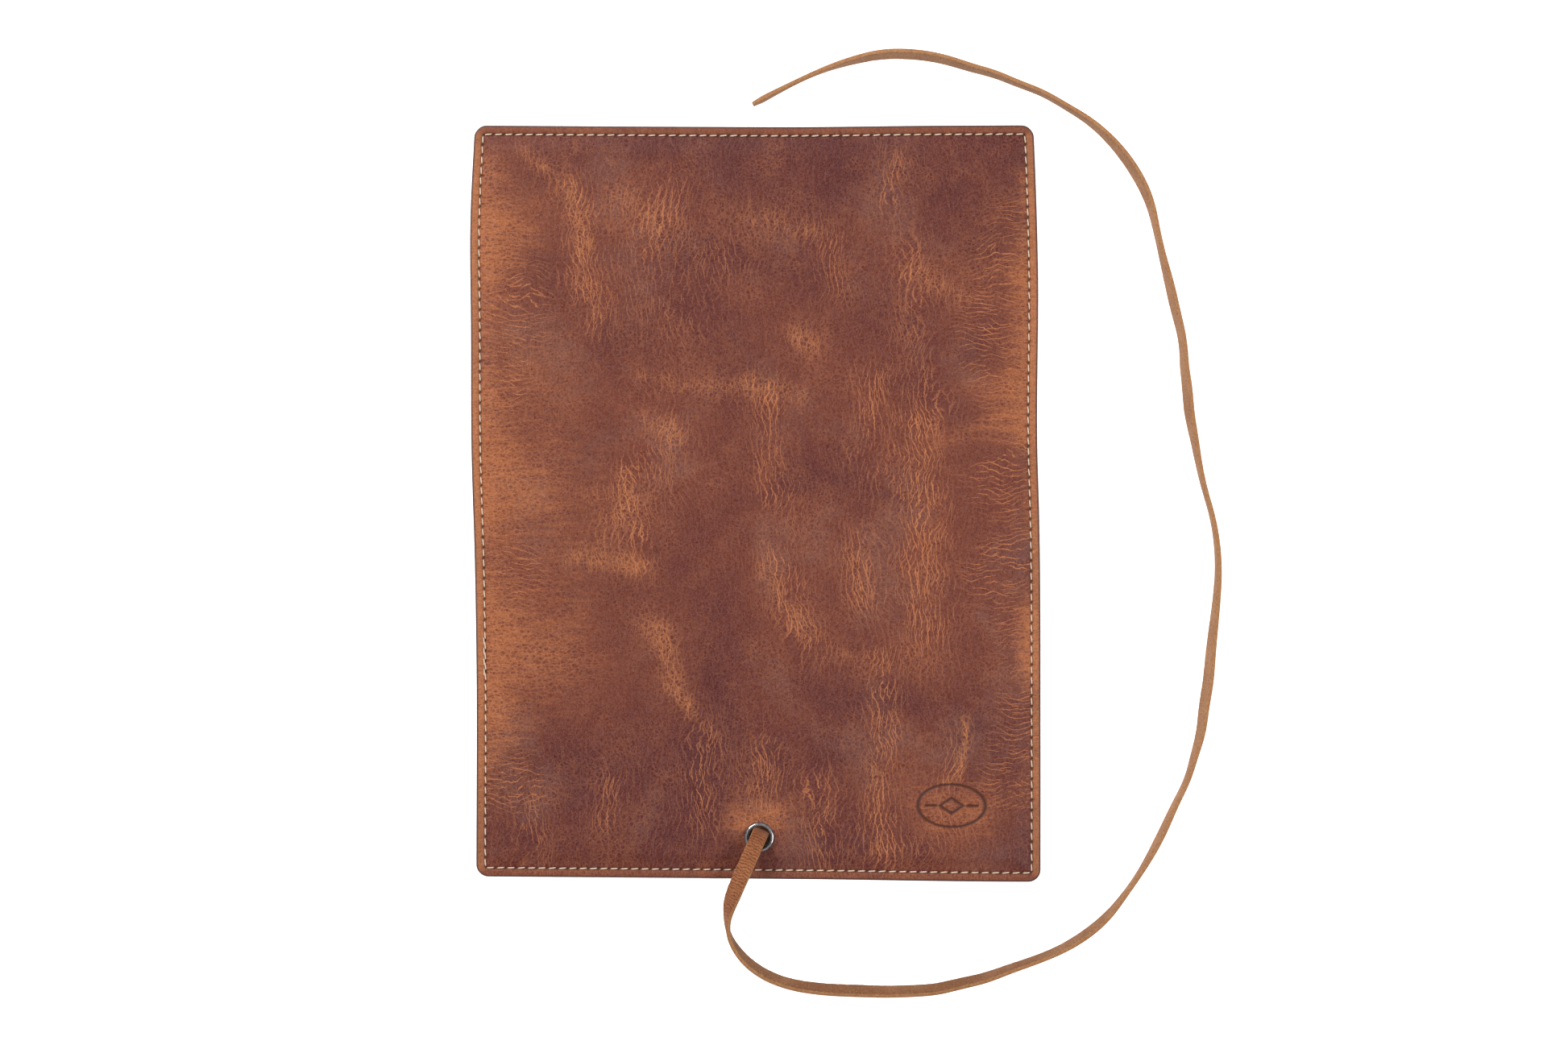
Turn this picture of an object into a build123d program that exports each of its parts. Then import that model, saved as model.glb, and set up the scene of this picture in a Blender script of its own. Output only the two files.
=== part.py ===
from build123d import *

import math
import os

# A leather notebook cover with a wrap-round tie strap, open and lying flat with its outer face up.
# Millimetres. X runs along the spine, Y from the strap's half (front) to the other half (back), Z up.
# The origin is the middle of the cover's footprint, on the surface that the cover lies on.

# Outline of the cover, opened flat
cover_width = 218.0
cover_length = 292.0
corner_radius = 4.7

# The spine is the strip between the two creases, as wide as the notebook is thick
spine_width = 14.0
crease_gap = 0.3

# Layers, from the surface up
sleeve_thickness = 1.2
lining_thickness = 0.8
interlining_thickness = 1.2
leather_thickness = 1.6

# The sleeves hold the notebook's boards and are open towards the spine
sleeve_depth = 95.0

# The interlining stops inside the seam, so the leather steps down to a rim round it
interlining_inset = 6.0
step_inset = interlining_inset - leather_thickness

# Seam round the whole edge: needle thread on the outer face, bobbin thread on the inner face
seam_inset = 3.5
thread_width = 0.8
thread_depth = 0.4
bobbin_groove_depth = 0.5

# Eyelet in the middle of the strap's edge
eyelet_x = 1.0
eyelet_y = -129.2
eyelet_bore_radius = 4.0
barrel_wall = 0.5
flange_radius = 5.8
flange_height = 0.8
flange_round = 0.35
washer_radius = 6.3
washer_thickness = 0.6

# Tie strap: a flat leather lace, its free length a round tube of the same width
strap_width = 6.4
strap_thickness = 1.8
tail_length = 32.0
tail_thickness = 0.6
strap_lift = 0.1
arc_share = 0.45

# Levels
lining_bottom = sleeve_thickness
lining_top = lining_bottom + lining_thickness
interlining_top = lining_top + interlining_thickness
leather_top = interlining_top + leather_thickness
rim_top = lining_top + leather_thickness
washer_bottom = interlining_top - washer_thickness
strap_exit_z = leather_top + flange_height
strap_z = strap_width / 2 + strap_lift

# Lines across the cover
half_length = cover_length / 2
crease = spine_width / 2
sleeve_mouth = half_length - sleeve_depth
spans = {
    "front": (-half_length, -crease - crease_gap / 2),
    "spine": (-crease + crease_gap / 2, crease - crease_gap / 2),
    "back": (crease + crease_gap / 2, half_length),
}
sleeve_spans = {"front": (-half_length, -sleeve_mouth), "back": (sleeve_mouth, half_length)}
bare_spans = {
    "front": (-sleeve_mouth, spans["front"][1]),
    "spine": spans["spine"],
    "back": (spans["back"][0], sleeve_mouth),
}

# The strap's route from the eyelet: up and over the cover's edge, down to the surface, then in one
# wide loop past the cover's side to a free end beyond the far edge
strap_route = [
    (eyelet_x, eyelet_y, strap_exit_z),
    (0.0, -131.9, 11.6),
    (-3.6, -139.0, 15.0),
    (-7.9, -147.9, 13.4),
    (-11.4, -157.2, 9.3),
    (-11.5, -165.6, 6.0),
    (-8.2, -172.8, 4.1),
    (-1.6, -179.8, strap_z),
    (8.4, -185.2, strap_z),
    (22.0, -188.1, strap_z),
    (42.0, -188.9, strap_z),
    (68.0, -188.8, strap_z),
    (98.0, -181.0, strap_z),
    (130.4, -168.0, strap_z),
    (148.0, -143.6, strap_z),
    (164.2, -115.0, strap_z),
    (173.0, -84.0, strap_z),
    (177.2, -50.0, strap_z),
    (179.2, -16.0, strap_z),
    (170.4, 15.0, strap_z),
    (165.8, 43.0, strap_z),
    (164.6, 65.0, strap_z),
    (156.8, 98.0, strap_z),
    (150.4, 122.5, strap_z),
    (136.0, 144.0, strap_z),
    (110.0, 159.0, strap_z),
    (82.0, 169.9, strap_z),
    (55.0, 175.9, strap_z),
    (30.0, 170.0, strap_z),
    (10.0, 161.0, strap_z),
    (-1.7, 154.5, strap_z),
]


def plate(span, inset, z_low, z_high):
    """The stretch of the cover between two lines across it, pulled in by inset from its outline."""
    width = cover_width - 2 * inset
    length = cover_length - 2 * inset
    if corner_radius > inset:
        outline = RectangleRounded(width, length, corner_radius - inset)
    else:
        outline = Rectangle(width, length)
    strip = Pos(0, (span[0] + span[1]) / 2) * Rectangle(cover_width, span[1] - span[0])
    return extrude(Pos(0, 0, z_low) * (outline & strip), amount=z_high - z_low)


def seam(span, z_low, z_high):
    """The stretch of the seam line between two lines across the cover, as wide as the thread."""
    outer = plate(span, seam_inset - thread_width / 2, z_low, z_high)
    inner = plate(span, seam_inset + thread_width / 2, z_low, z_high)
    return outer - inner


def eyelet_disc(radius, z_low, z_high):
    """A disc about the eyelet's axis."""
    height = z_high - z_low
    return Pos(eyelet_x, eyelet_y, (z_low + z_high) / 2) * Cylinder(radius, height)


def interlining(span):
    """The soft stiffener that fills the space under the raised middle of the leather."""
    return plate(span, interlining_inset, lining_top, interlining_top)


def outer_leather(span):
    """The outer skin: a rim on the lining, and a middle that steps up over the interlining."""
    rim = plate(span, 0, lining_top, rim_top)
    middle = plate(span, step_inset, lining_top, leather_top)
    return rim + middle - interlining(span) - needle_thread(span)


def needle_thread(span):
    """The thread on the outer face, flush in its groove."""
    return seam(span, rim_top - thread_depth, rim_top)


def lining(name):
    """The inner skin, with the seam's groove in its underside where no sleeve covers it."""
    groove = seam(bare_spans[name], lining_bottom, lining_bottom + bobbin_groove_depth)
    return plate(spans[name], 0, lining_bottom, lining_top) - groove


def sleeve(name):
    """A pocket's loose layer, sewn in along three sides, with the seam's groove in its underside."""
    span = sleeve_spans[name]
    return plate(span, 0, 0, sleeve_thickness) - seam(span, 0, bobbin_groove_depth)


def bobbin_run(span, bottom):
    """A stretch of the thread on the inner face, at the top of its groove and clear of the surface."""
    top = bottom + bobbin_groove_depth
    return seam(span, top - thread_depth, top)


def bobbin_thread(name):
    """The thread on the inner face: under the bare lining and, where there is one, under the sleeve."""
    runs = bobbin_run(bare_spans[name], lining_bottom)
    if name in sleeve_spans:
        runs += bobbin_run(sleeve_spans[name], 0)
    return runs


def eyelet():
    """A tubular rivet: a rounded flange on the leather and a barrel down to the washer."""
    flange = eyelet_disc(flange_radius, leather_top, strap_exit_z)
    barrel = eyelet_disc(eyelet_bore_radius + barrel_wall, washer_bottom, leather_top)
    body = flange + barrel - eyelet_disc(eyelet_bore_radius, washer_bottom, strap_exit_z)
    top_edges = body.edges().filter_by(GeomType.CIRCLE).group_by(Axis.Z)[-1]
    return fillet(top_edges, flange_round)


def eyelet_washer():
    """The flat ring under the leather that the barrel is set through."""
    ring = eyelet_disc(washer_radius, washer_bottom, interlining_top)
    return ring - eyelet_disc(eyelet_bore_radius + barrel_wall, washer_bottom, interlining_top)


def strap_tail():
    """The strap's hidden end: down the eyelet, then skived thin and glued flat on the lining."""
    riser_height = strap_exit_z - lining_top
    riser = Pos(eyelet_x, eyelet_y, lining_top + riser_height / 2) * Box(
        strap_width, strap_thickness, riser_height
    )
    flat = Pos(eyelet_x, eyelet_y + tail_length / 2, lining_top + tail_thickness / 2) * Box(
        strap_width, tail_length, tail_thickness
    )
    return riser + flat


def arc_radii(points):
    """At each corner of a route, the radius that takes the same share of the shorter run."""
    radii = []
    for before, here, after in zip(points, points[1:], points[2:]):
        arriving = Vector(*here) - Vector(*before)
        leaving = Vector(*after) - Vector(*here)
        half_turn = math.radians(arriving.get_angle(leaving)) / 2
        radii.append(arc_share * min(arriving.length, leaving.length) / math.tan(half_turn))
    return radii


def tie_strap():
    """The strap's free length as a tube of straight runs joined by tangent arcs."""
    radii = arc_radii(strap_route)
    path = FilletPolyline(*strap_route, radius=radii)
    start = Plane(origin=path @ 0, z_dir=path % 0)
    tube = sweep(start * Circle(strap_width / 2), path=path)
    section = math.pi * (strap_width / 2) ** 2
    print("strap radii", [round(radius, 1) for radius in radii])
    print("strap length", round(path.length, 1), "volume ratio", tube.volume / (section * path.length))
    return tube


def layers(name):
    """The nodes of one stretch of the cover, between two creases or from a crease to the edge."""
    nodes = {
        f"{name}_outer_leather": outer_leather(spans[name]),
        f"{name}_interlining": interlining(spans[name]),
        f"{name}_lining": lining(name),
        f"{name}_needle_thread": needle_thread(spans[name]),
        f"{name}_bobbin_thread": bobbin_thread(name),
    }
    if name in sleeve_spans:
        nodes[f"{name}_sleeve"] = sleeve(name)
    return nodes


def notebook_cover():
    """Every node of the cover, by name."""
    nodes = {}
    for name in spans:
        nodes.update(layers(name))
    nodes["front_outer_leather"] -= eyelet_disc(eyelet_bore_radius + barrel_wall, lining_top, leather_top)
    nodes["front_interlining"] -= eyelet_disc(washer_radius, lining_top, interlining_top)
    nodes["front_interlining"] -= strap_tail()
    nodes["eyelet"] = eyelet()
    nodes["eyelet_washer"] = eyelet_washer()
    nodes["strap_tail"] = strap_tail()
    nodes["tie_strap"] = tie_strap()
    return nodes


os.makedirs("parts", exist_ok=True)
for node, solid in notebook_cover().items():
    export_step(solid, f"parts/{node}.step")
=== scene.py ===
import math

import bpy
import numpy as np
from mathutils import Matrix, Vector


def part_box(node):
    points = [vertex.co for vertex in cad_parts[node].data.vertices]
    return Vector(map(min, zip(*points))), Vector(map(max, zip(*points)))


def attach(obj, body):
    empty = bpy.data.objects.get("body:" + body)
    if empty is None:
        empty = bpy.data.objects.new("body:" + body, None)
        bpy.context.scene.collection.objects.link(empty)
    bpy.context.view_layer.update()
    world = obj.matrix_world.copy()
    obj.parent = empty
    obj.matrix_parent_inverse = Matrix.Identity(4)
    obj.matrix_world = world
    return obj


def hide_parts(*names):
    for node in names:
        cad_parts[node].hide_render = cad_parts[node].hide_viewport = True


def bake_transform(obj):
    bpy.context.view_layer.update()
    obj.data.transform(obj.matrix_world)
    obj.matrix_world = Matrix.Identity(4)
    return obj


# The looks of a leather notebook cover that lies open with its outer face up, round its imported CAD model.
# Shapes are worked out in millimetres in the CAD model's own frame, and written to Blender in metres.

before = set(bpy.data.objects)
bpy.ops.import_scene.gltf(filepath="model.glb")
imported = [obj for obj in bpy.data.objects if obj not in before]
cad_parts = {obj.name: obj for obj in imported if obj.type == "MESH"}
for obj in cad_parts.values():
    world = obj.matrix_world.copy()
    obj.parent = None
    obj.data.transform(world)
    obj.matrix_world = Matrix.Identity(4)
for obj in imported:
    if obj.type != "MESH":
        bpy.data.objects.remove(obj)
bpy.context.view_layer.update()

MM = 0.001


def box_mm(node):
    """A CAD node's lowest and highest corner, in millimetres."""
    low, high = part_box(node)
    return np.array(low) / MM, np.array(high) / MM


# ---- sizes, read from the frame

HALF_WIDTH, HALF_LENGTH, LEATHER_TOP = box_mm("back_outer_leather")[1]
RIM_TOP = box_mm("back_needle_thread")[1][2]
INTERLINING_TOP = box_mm("back_interlining")[1][2]
INTERLINING_INSET = HALF_WIDTH - box_mm("back_interlining")[1][0]
LINING_LOW, LINING_TOP = (corner[2] for corner in box_mm("back_lining"))
SLEEVE_MOUTH = box_mm("back_sleeve")[0][1]
SLEEVE_TOP = box_mm("back_sleeve")[1][2]
THREAD = 0.8
SEAM_INSET = HALF_WIDTH - box_mm("back_needle_thread")[1][0] + THREAD / 2
EYELET_LOW, EYELET_HIGH = box_mm("eyelet")
EYELET_X, EYELET_Y = (EYELET_LOW + EYELET_HIGH)[:2] / 2
FLANGE_RADIUS = (EYELET_HIGH - EYELET_LOW)[0] / 2

# The seam has a whole number of stitches on each side, about 4 mm long.
SEAM_X = HALF_WIDTH - SEAM_INSET
SEAM_Y = HALF_LENGTH - SEAM_INSET
ACROSS_STITCHES, ALONG_STITCHES = 53, 71
PITCH_X = 2 * SEAM_X / ACROSS_STITCHES
PITCH_Y = 2 * SEAM_Y / ALONG_STITCHES

# The cover's two halves: (body, whether it is the front one).
HALVES = (("front", True), ("back", False))

CORNER_RADIUS = 4.7
STAMP_X, STAMP_Y = 74.5, -116.7
STAMP_HALF_WIDTH, STAMP_HALF_HEIGHT = 14.0, 9.0

# How far each edge of the real, slightly uneven cover stands out from the straight one: (place, amount).
LEFT_EDGE = [(-146, -0.4), (-60, -0.4), (-24, 0.2), (20, 1.5), (65, 1.7), (110, 1.9), (146, 0.2)]
RIGHT_EDGE = [(-146, 0.8), (-90, 0.8), (-5, 0.3), (20, -0.4), (92, -0.2), (130, -1.3), (146, -2.0)]
TOP_EDGE = [(-109, 0.2), (-20, -0.3), (20, -0.4), (66, 0.1), (109, 0.3)]
BOTTOM_EDGE = [(-109, -1.5), (-60, -1.1), (20, -0.4), (103, 0.6), (109, 0.6)]


# ---- small geometry helpers


def smooth(t):
    """0 below 0, 1 above 1, and a smooth step between."""
    t = np.clip(t, 0, 1)
    return t * t * (3 - 2 * t)


def smooth_through(knots, t):
    """A smooth curve through a few (place, value) pairs."""
    at, value = np.array(knots, float).T
    slope = np.gradient(value, at)
    i = np.clip(np.searchsorted(at, t) - 1, 0, len(at) - 2)
    step = at[i + 1] - at[i]
    u = np.clip((t - at[i]) / step, 0, 1)
    ends = value[i] * (1 + 2 * u) * (1 - u) ** 2 + value[i + 1] * (3 - 2 * u) * u**2
    return ends + step * (slope[i] * u * (1 - u) ** 2 - slope[i + 1] * u**2 * (1 - u))


def place(x, y):
    """Where a point of the ideal, sharp-cornered rectangle lies on the real cover."""
    dx = np.abs(x) - (HALF_WIDTH - CORNER_RADIUS)
    dy = np.abs(y) - (HALF_LENGTH - CORNER_RADIUS)
    in_corner = (dx > 0) & (dy > 0)
    pull = np.where(in_corner, np.maximum(dx, dy) / np.maximum(np.hypot(dx, dy), 1e-9), 1)
    rx = np.where(in_corner, np.sign(x) * (HALF_WIDTH - CORNER_RADIUS + dx * pull), x)
    ry = np.where(in_corner, np.sign(y) * (HALF_LENGTH - CORNER_RADIUS + dy * pull), y)
    u, v = rx / HALF_WIDTH, ry / HALF_LENGTH
    out_x = (1 + u) / 2 * smooth_through(RIGHT_EDGE, y) - (1 - u) / 2 * smooth_through(LEFT_EDGE, y)
    out_y = (1 + v) / 2 * smooth_through(TOP_EDGE, x) - (1 - v) / 2 * smooth_through(BOTTOM_EDGE, x)
    return rx + out_x, ry + out_y


def inset_of(x, y):
    """How far inside the cover's edge a point is."""
    return np.minimum(HALF_WIDTH - np.abs(x), HALF_LENGTH - np.abs(y))


def bell(t):
    """1 at 0, falling away softly on both sides."""
    return np.exp(-(t**2))


def level_at(z):
    """The height of a flat face."""
    return lambda x, y: 0 * x + z


def near_eyelet(margin):
    """A test of which points lie nearer to the eyelet's middle than its flange does, by a margin."""
    return lambda px, py: np.hypot(px - EYELET_X, py - EYELET_Y) < FLANGE_RADIUS + margin


def undulation(x, y):
    """The gentle unevenness of soft leather that has been used, from -1 to 1."""
    broad = np.sin(x / 31 + 1.3 * np.sin(y / 47)) * np.sin(y / 38 + 0.9 * np.sin(x / 29 + 2))
    fine = np.sin(x / 13 + y / 17 + 1) * np.sin(y / 11 - x / 23)
    return (broad + 0.4 * fine) / 1.4


def new_object(name, points, faces, material, smooth_angle=40):
    """A mesh object from points in millimetres."""
    mesh = bpy.data.meshes.new(name)
    mesh.from_pydata((np.asarray(points, float) * MM).tolist(), [], faces)
    mesh.polygons.foreach_set("use_smooth", [True] * len(mesh.polygons))
    mesh.set_sharp_from_angle(angle=math.radians(smooth_angle))
    mesh.materials.append(material)
    mesh.update()
    made = bpy.data.objects.new(name, mesh)
    bpy.context.scene.collection.objects.link(made)
    return made


def write_field(piece, name, values):
    """A number for each point of a piece, which its material reads."""
    attribute = piece.data.attributes.new(name, "FLOAT", "POINT")
    attribute.data.foreach_set("value", np.asarray(values, np.float32).ravel())


def write_flat(piece, points):
    """Each point's place on the material before it was bent, in millimetres."""
    attribute = piece.data.attributes.new("flat", "FLOAT_VECTOR", "POINT")
    attribute.data.foreach_set("vector", np.asarray(points, np.float32).ravel())


# ---- shader helpers


def srgb(red, green, blue):
    """A colour given as 0 to 255 on screen, as Blender's linear colour."""
    screen = np.array([red, green, blue]) / 255
    linear = np.where(screen <= 0.04045, screen / 12.92, ((screen + 0.055) / 1.055) ** 2.4)
    return (*linear.tolist(), 1.0)


# How much the lamps brighten what lies on the floor, and how much haze they add to it.
LAMP_GAIN, LAMP_HAZE = 1.3, 0.016


def shown(red, green, blue):
    """The surface colour that looks like this screen colour under the lamps."""
    linear = np.array(srgb(red, green, blue)[:3])
    return (*np.maximum((linear - LAMP_HAZE) / LAMP_GAIN, 0.003).tolist(), 1.0)


class Shader:
    """One node material, with short ways to add the nodes that feed its Principled surface."""

    def __init__(self, name, roughness=0.5, specular=0.3, **settings):
        self.material = bpy.data.materials.new(name)
        self.material.use_nodes = True
        self.tree = self.material.node_tree
        self.surface = self.tree.nodes["Principled BSDF"]
        self.surface.inputs["Roughness"].default_value = roughness
        self.surface.inputs["Specular IOR Level"].default_value = specular
        for socket, value in settings.items():
            self.surface.inputs[socket.replace("_", " ")].default_value = value

    def feed(self, socket, value):
        """Sets a socket to a number or colour, or links another node's output to it."""
        if isinstance(value, bpy.types.NodeSocket):
            self.tree.links.new(value, socket)
        else:
            socket.default_value = value

    def node(self, kind, inputs, **settings):
        """A new node with its settings, and its inputs set or linked."""
        made = self.tree.nodes.new(kind)
        for setting, value in settings.items():
            setattr(made, setting, value)
        for socket, value in inputs.items():
            self.feed(made.inputs[socket], value)
        return made

    def field(self, name):
        """A number that was written for each point of the piece."""
        return self.node("ShaderNodeAttribute", {}, attribute_name=name).outputs["Fac"]

    def flat(self):
        """The place on the flat material in millimetres, lifted off the noises' own lattice plane."""
        place_on = self.node("ShaderNodeAttribute", {}, attribute_name="flat").outputs["Vector"]
        return self.vector("ADD", place_on, (0.0, 0.0, 3.37))

    def math(self, operation, a, b):
        return self.node("ShaderNodeMath", {0: a, 1: b}, operation=operation).outputs[0]

    def plus(self, a, b):
        return self.math("ADD", a, b)

    def minus(self, a, b):
        return self.math("SUBTRACT", a, b)

    def times(self, a, b):
        return self.math("MULTIPLY", a, b)

    def vector(self, operation, a, b):
        return self.node("ShaderNodeVectorMath", {0: a, 1: b}, operation=operation).outputs[0]

    def scaled(self, point, factors):
        return self.vector("MULTIPLY", point, factors)

    def axes(self, point):
        return self.node("ShaderNodeSeparateXYZ", {"Vector": point}).outputs

    def grey(self, value):
        return self.node("ShaderNodeCombineXYZ", {0: value, 1: value, 2: value}).outputs[0]

    def noise(self, point, scale, detail=2.0, roughness=0.5, output="Fac"):
        inputs = {"Vector": point, "Scale": scale, "Detail": detail, "Roughness": roughness}
        return self.node("ShaderNodeTexNoise", inputs, noise_dimensions="3D").outputs[output]

    def cells(self, point, scale):
        """How far a point is from the nearest border between uneven cells."""
        inputs = {"Vector": point, "Scale": scale}
        made = self.node("ShaderNodeTexVoronoi", inputs, feature="DISTANCE_TO_EDGE", voronoi_dimensions="3D")
        return made.outputs["Distance"]

    def span(self, value, low, high, to_low=0.0, to_high=1.0):
        """A value's place between two limits, smoothly, as another range."""
        inputs = {0: value, 1: low, 2: high, 3: to_low, 4: to_high}
        return self.node("ShaderNodeMapRange", inputs, interpolation_type="SMOOTHSTEP").outputs[0]

    def mix(self, factor, a, b):
        """A colour between two others."""
        first, second, result = 6, 7, 2  # the node's colour sockets, which share their names with its others
        inputs = {"Factor": factor, first: a, second: b}
        return self.node("ShaderNodeMix", inputs, data_type="RGBA").outputs[result]

    def bump(self, height, depth_mm, strength=1.0, normal=None):
        """A surface that rises and falls with a height, on top of another such surface if one is given."""
        inputs = {"Height": height, "Distance": depth_mm * MM, "Strength": strength}
        if normal is not None:
            inputs["Normal"] = normal
        return self.node("ShaderNodeBump", inputs).outputs["Normal"]

    def finish(self, colour, roughness=None, normal=None):
        """Feeds the surface, and gives the material."""
        for socket, value in (("Base Color", colour), ("Roughness", roughness), ("Normal", normal)):
            if value is not None:
                self.feed(self.surface.inputs[socket], value)
        return self.material

    def shaken(self, point, scale, reach):
        """A point moved by noise, so that what is drawn there wavers."""
        wander = self.noise(point, scale, 2.0, output="Color")
        centred = self.vector("SUBTRACT", wander, (0.5, 0.5, 0.5))
        return self.vector("ADD", point, self.vector("MULTIPLY", centred, (2 * reach, 2 * reach, 0)))


def cracks(s, point, spacing, family, lean, level=False):
    """Long thin cracks in a hide, so far apart and leaning so much, that wander, and fade in and out."""
    axes = s.axes(s.shaken(point, 0.035, 9.0))
    along, across = (axes["X"], axes["Y"]) if level else (axes["Y"], axes["X"])
    count = s.math("DIVIDE", s.plus(across, s.times(along, lean)), spacing)
    apart = s.vector("ADD", point, (17.3 * family, 0, 31.7 * family))
    swerve = s.scaled(apart, (0.10, 0.045, 0.3) if level else (0.045, 0.10, 0.3))
    wander = s.times(s.noise(swerve, 1.0, 5.0, 0.60), 2.5)
    off = s.math("PINGPONG", s.plus(count, wander), 0.5)
    reach = s.scaled(apart, (0.14, 0.34, 0.3) if level else (0.34, 0.14, 0.3))
    width = s.span(s.noise(reach, 1.3, 2.0), 0.35, 0.65, 0.07, 0.14)
    line = s.minus(1.0, s.span(off, 0.03, width))
    return s.times(line, s.span(s.noise(reach, 0.8, 3.0, 0.6), 0.42, 0.56))


def net(s, point, size, half_line=0.34):
    """A net of fine wavy lines round uneven cells, so big in millimetres."""
    near = s.shaken(point, 0.9 / size, 0.5 * size)
    return s.span(s.cells(near, 1 / size), 0.01, half_line / size, 1.0, 0.0)


def most(s, *values):
    """The largest of several values."""
    top = values[0]
    for value in values[1:]:
        top = s.math("MAXIMUM", top, value)
    return top


def ragged(s, value, noise, reach, low=0.15, high=0.9):
    """A soft painted field whose outline a noise makes ragged."""
    pushed = s.times(s.minus(noise, 0.5), reach)
    inside = s.times(pushed, s.span(value, 0.02, 0.3))
    return s.span(s.plus(value, inside), low, high)


def grained(s, colour, grain, shade, painted_sheen):
    """A colour made lighter and darker by a fine grain: some of it in shade, some as a neutral painted sheen
    that stands for the grain's glints.
    """
    centred = s.minus(grain, 0.5)
    shaded = s.scaled(colour, s.grey(s.plus(s.times(centred, shade), 1.0)))
    # The neutral part is a painted sheen: it lightens the colour where the grain would glint.
    return s.vector("ADD", shaded, s.grey(s.times(centred, painted_sheen)))


# The hide's own colours, from its waxy dark to where the wax is rubbed off.
HIDE_DARK = shown(93, 53, 53)
HIDE_MIDDLE = shown(115, 65, 56)
HIDE_LIGHT = shown(139, 79, 61)
HIDE_BLOOM = shown(120, 86, 80)
HIDE_RUBBED = shown(176, 116, 78)
HIDE_GLOWING = shown(180, 109, 70)
HIDE_CREASED = shown(196, 125, 85)
RIM_DARK = shown(124, 73, 59)
RIM_PALE = shown(168, 110, 77)


def hide_ground(s, point, mottle):
    """The waxy ground: clouded and mottled, darker where it is painted so, with a dull bloom in places."""
    cloud = s.noise(point, 0.022, 3.0, 0.55)
    tone = s.plus(s.times(cloud, 0.7), s.times(mottle, 0.4))
    tone = s.minus(tone, s.times(s.field("dark"), 0.36))
    colour = s.mix(s.span(tone, 0.12, 0.66), HIDE_DARK, HIDE_MIDDLE)
    colour = s.mix(s.span(tone, 0.60, 0.92), colour, HIDE_LIGHT)
    bloom = s.span(s.noise(point, 0.028, 4.0, 0.6), 0.5, 0.68)
    return s.mix(s.times(bloom, s.span(mottle, 0.3, 0.7, 0.2, 0.5)), colour, HIDE_BLOOM)


def rubbed(s, point, colour, fine_net):
    """The ground where its wax is rubbed off in ragged upright streaks, and where it glows in level ones."""
    upright_streak = s.noise(s.scaled(point, (0.5, 0.12, 1)), 1.0, 4.0, 0.65)
    rub = ragged(s, s.field("rub"), upright_streak, 1.6)
    scuffed = s.span(s.noise(point, 0.3, 5.0, 0.72), 0.38, 0.62, 0.35, 1.0)
    rub = s.times(s.times(rub, scuffed), s.plus(s.times(fine_net, 0.42), 0.09))
    level_streak = s.noise(s.scaled(point, (0.09, 0.5, 1)), 1.0, 4.0, 0.65)
    glow = ragged(s, s.field("glow"), level_streak, 1.5, 0.1, 1.1)
    broken = s.plus(s.times(level_streak, 0.6), s.times(fine_net, 0.3))
    glow = s.times(glow, s.span(broken, 0.15, 0.6, 0.12, 0.75))
    return s.mix(glow, s.mix(rub, colour, HIDE_RUBBED), HIDE_GLOWING)


def creases(s, point, fine_net):
    """How much of a crease runs through each point, from 0 to 1: upright and level cracks, and fine nets."""
    glow = s.field("glow")
    worn = s.times(s.field("rub"), 0.8)
    families = ((2.3, 1, 0.22), (2.0, 2, -0.2), (2.7, 3, 0.02))
    upright = most(s, *(cracks(s, point, *family) for family in families))
    upright = s.times(upright, s.plus(s.field("upright"), worn))
    close = s.times(cracks(s, point, 1.4, 6, 0.05, True), s.plus(glow, 0.15))
    level = most(s, cracks(s, point, 2.2, 4, 0.2, True), cracks(s, point, 1.9, 5, -0.15, True), close)
    calmed = s.minus(1.0, s.times(glow, 0.4))
    level = s.times(level, s.times(s.field("level"), calmed))
    patch = s.span(s.noise(point, 0.06, 4.0, 0.68), 0.40, 0.66, 0.04, 0.28)
    fine = s.times(fine_net, s.plus(patch, s.times(worn, 0.35)))
    pebbled = s.times(net(s, s.scaled(point, (0.55, 1.0, 1.0)), 1.35), s.times(glow, 0.75))
    return s.math("MINIMUM", most(s, upright, level, fine, pebbled), 1.0)


def hide_colour(s, point):
    """The waxed hide's colour, from its painted fields, with the depth of its creases and its grain."""
    mottle = s.noise(point, 0.13, 5.0, 0.68)
    fine_net = net(s, point, 1.6, 0.30)
    colour = rubbed(s, point, hide_ground(s, point, mottle), fine_net)
    rim = s.times(s.field("rim"), s.span(mottle, 0.3, 0.7, 0.6, 0.95))
    colour = s.mix(rim, colour, s.mix(s.field("pale_rim"), RIM_DARK, RIM_PALE))
    crease = creases(s, point, fine_net)
    colour = s.mix(s.times(crease, 0.88), colour, HIDE_CREASED)
    grain = s.noise(point, 1.9, 3.0, 0.85)
    # The grain adds a painted sheen of its glints to the hide's colour.
    return grained(s, colour, grain, 1.05, 0.12), crease, grain


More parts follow.
